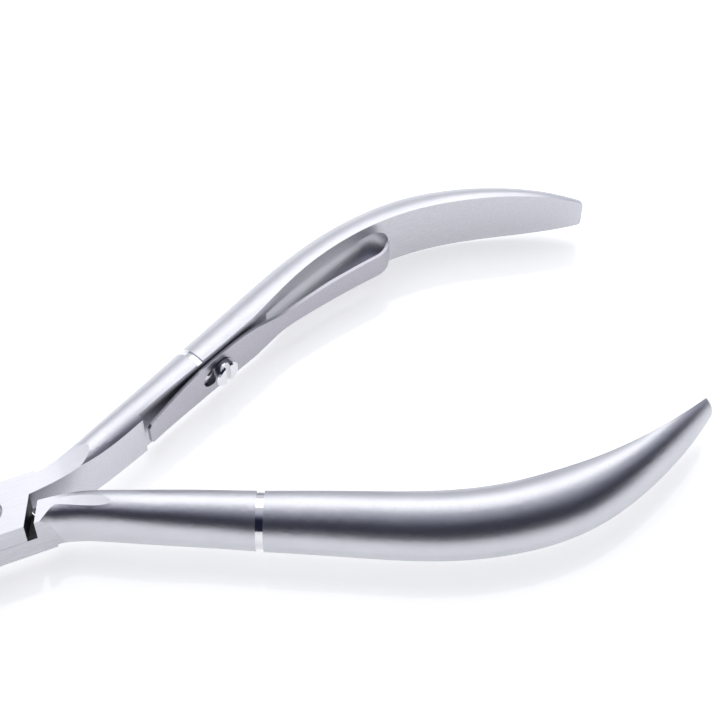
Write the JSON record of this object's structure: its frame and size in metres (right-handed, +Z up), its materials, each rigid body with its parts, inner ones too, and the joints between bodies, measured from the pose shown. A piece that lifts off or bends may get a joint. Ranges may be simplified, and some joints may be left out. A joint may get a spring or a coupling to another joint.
{
  "type": "cuticle nipper",
  "caption": "Lap-joint cuticle nipper with round bowed handles, slanted cutting jaws, a bowed leaf spring and slotted screws.",
  "frame": {"origin": "where the pivot axis meets the flat underside of the lap joint", "axes": "+Z up along the pivot axis, +X from the pivot towards the handle ends, +Y towards the half that carries the leaf spring"},
  "size_m": [0.1197, 0.06, 0.0098],
  "materials": {
    "satin_steel": "bead-blasted satin stainless steel",
    "spring_steel": "brushed spring steel strip",
    "polished_steel": "polished stainless steel"
  },
  "bodies": {
    "lower": {"lower_half": "satin_steel"},
    "upper": {"upper_half": "satin_steel"},
    "pivot_screw": {"pivot_screw": "polished_steel"},
    "leaf_spring": {"leaf_spring": "spring_steel"},
    "spring_screw": {"spring_screw": "polished_steel"}
  },
  "joints": [
    {"name": "handle_pivot", "type": "hinge", "parent": "lower", "child": "upper", "pos_m": [0, 0, 0.0037], "axis": [0, 0, 1], "range_deg": [-10, 3]},
    {"name": "pivot_screw_turn", "type": "hinge", "parent": "lower", "child": "pivot_screw", "pos_m": [0, 0, 0.0037], "axis": [0, 0, 1], "range_deg": [-90, 90]},
    {"name": "leaf_flex", "type": "hinge", "parent": "upper", "child": "leaf_spring", "pos_m": [0.03612, 0.01287, 0.0037], "axis": [0, 0, 1], "range_deg": [-2, 2], "stiffness_Nm_per_rad": 2.8},
    {"name": "spring_screw_turn", "type": "hinge", "parent": "upper", "child": "spring_screw", "pos_m": [0.03612, 0.01287, 0.0037], "axis": [0.4163, -0.9092, 0], "range_deg": [-90, 90]}
  ]
}
